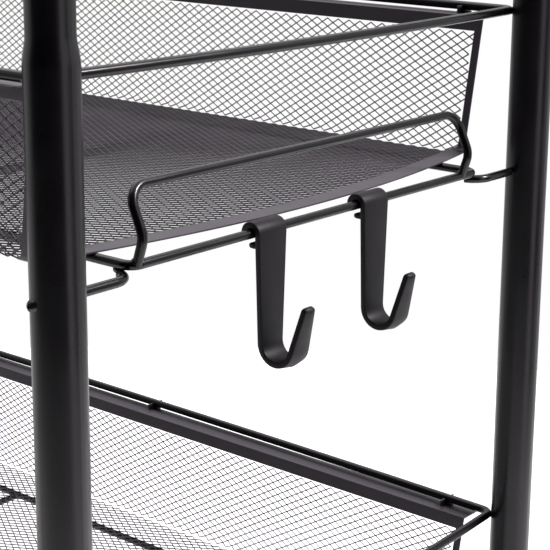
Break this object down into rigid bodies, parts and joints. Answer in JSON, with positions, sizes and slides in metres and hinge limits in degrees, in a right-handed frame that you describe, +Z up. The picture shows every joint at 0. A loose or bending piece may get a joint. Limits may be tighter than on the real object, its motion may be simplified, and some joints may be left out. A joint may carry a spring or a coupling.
{
  "type": "rolling pantry cart",
  "caption": "Rolling kitchen pantry cart with mesh trays on a black tube-and-wire frame, end guard hoops, clip-on hooks and swivel casters.",
  "frame": {"origin": "midway between the posts, on the floor under the wheels", "axes": "+X along the cart towards the end with the hooks, +Y across it to the back, +Z up"},
  "size_m": [0.736, 0.4196, 0.9651],
  "materials": {
    "black_powder_coat": "satin",
    "black_mesh": "satin",
    "black_plastic": "matte",
    "grey_plastic": "matte",
    "grey_rubber": "matte",
    "zinc_steel": "zinc plated"
  },
  "bodies": {
    "frame": {"post_right_front": "black_powder_coat", "caster_socket_right_front": "black_plastic", "caster_stem_right_front": "zinc_steel", "post_right_back": "black_powder_coat", "caster_socket_right_back": "black_plastic", "caster_stem_right_back": "zinc_steel", "post_left_front": "black_powder_coat", "caster_socket_left_front": "black_plastic", "caster_stem_left_front": "zinc_steel", "post_left_back": "black_powder_coat", "caster_socket_left_back": "black_plastic", "caster_stem_left_back": "zinc_steel", "handle_hoop_right": "black_powder_coat", "handle_hoop_left": "black_powder_coat", "handle_screws": "zinc_steel", "bracket_screws": "black_powder_coat", "rim_wire_bottom": "black_powder_coat", "lower_loop_bottom": "black_powder_coat", "cross_wires_bottom": "black_powder_coat", "guard_hoop_bottom_right": "black_powder_coat", "guard_hoop_bottom_left": "black_powder_coat", "mesh_tray_bottom": "black_mesh", "bracket_rods_bottom": "black_powder_coat", "rim_wire_middle": "black_powder_coat", "lower_loop_middle": "black_powder_coat", "cross_wires_middle": "black_powder_coat", "guard_hoop_middle_right": "black_powder_coat", "guard_hoop_middle_left": "black_powder_coat", "mesh_tray_middle": "black_mesh", "bracket_rods_middle": "black_powder_coat", "rim_wire_top": "black_powder_coat", "lower_loop_top": "black_powder_coat", "cross_wires_top": "black_powder_coat", "guard_hoop_top_right": "black_powder_coat", "guard_hoop_top_left": "black_powder_coat", "mesh_tray_top": "black_mesh", "bracket_rods_top": "black_powder_coat"},
    "caster_right_front": {"caster_fork_right_front": "black_plastic", "caster_axle_right_front": "zinc_steel"},
    "wheel_right_front": {"wheel_core_right_front": "black_plastic", "tyre_right_front": "grey_rubber"},
    "brake_right_front": {"brake_lever_right_front": "grey_plastic"},
    "caster_right_back": {"caster_fork_right_back": "black_plastic", "caster_axle_right_back": "zinc_steel"},
    "wheel_right_back": {"wheel_core_right_back": "black_plastic", "tyre_right_back": "grey_rubber"},
    "brake_right_back": {"brake_lever_right_back": "grey_plastic"},
    "caster_left_front": {"caster_fork_left_front": "black_plastic", "caster_axle_left_front": "zinc_steel"},
    "wheel_left_front": {"wheel_core_left_front": "black_plastic", "tyre_left_front": "grey_rubber"},
    "caster_left_back": {"caster_fork_left_back": "black_plastic", "caster_axle_left_back": "zinc_steel"},
    "wheel_left_back": {"wheel_core_left_back": "black_plastic", "tyre_left_back": "grey_rubber"},
    "hook_front": {"hook_front": "black_plastic"},
    "hook_back": {"hook_back": "black_plastic"}
  },
  "joints": [
    {"name": "swivel_right_front", "type": "hinge", "parent": "frame", "child": "caster_right_front", "pos_m": [0.325, -0.194, 0.058], "axis": [0, 0, 1], "continuous": true},
    {"name": "roll_right_front", "type": "hinge", "parent": "caster_right_front", "child": "wheel_right_front", "pos_m": [0.343, -0.194, 0.025], "axis": [0, 1, 0], "continuous": true},
    {"name": "brake_press_right_front", "type": "hinge", "parent": "caster_right_front", "child": "brake_right_front", "pos_m": [0.352, -0.194, 0.052], "axis": [0, -1, 0], "range_deg": [0, 28]},
    {"name": "swivel_right_back", "type": "hinge", "parent": "frame", "child": "caster_right_back", "pos_m": [0.325, 0.194, 0.058], "axis": [0, 0, 1], "continuous": true},
    {"name": "roll_right_back", "type": "hinge", "parent": "caster_right_back", "child": "wheel_right_back", "pos_m": [0.343, 0.194, 0.025], "axis": [0, 1, 0], "continuous": true},
    {"name": "brake_press_right_back", "type": "hinge", "parent": "caster_right_back", "child": "brake_right_back", "pos_m": [0.352, 0.194, 0.052], "axis": [0, -1, 0], "range_deg": [0, 28]},
    {"name": "swivel_left_front", "type": "hinge", "parent": "frame", "child": "caster_left_front", "pos_m": [-0.325, -0.194, 0.058], "axis": [0, 0, 1], "continuous": true},
    {"name": "roll_left_front", "type": "hinge", "parent": "caster_left_front", "child": "wheel_left_front", "pos_m": [-0.343, -0.194, 0.025], "axis": [0, 1, 0], "continuous": true},
    {"name": "swivel_left_back", "type": "hinge", "parent": "frame", "child": "caster_left_back", "pos_m": [-0.325, 0.194, 0.058], "axis": [0, 0, 1], "continuous": true},
    {"name": "roll_left_back", "type": "hinge", "parent": "caster_left_back", "child": "wheel_left_back", "pos_m": [-0.343, 0.194, 0.025], "axis": [0, 1, 0], "continuous": true},
    {"name": "hook_swing_front", "type": "hinge", "parent": "frame", "child": "hook_front", "pos_m": [0.3202, -0.049, 0.7617], "axis": [0, -1, 0], "range_deg": [-40, 95]},
    {"name": "hook_swing_back", "type": "hinge", "parent": "frame", "child": "hook_back", "pos_m": [0.3202, 0.038, 0.7617], "axis": [0, -1, 0], "range_deg": [-40, 95]}
  ]
}
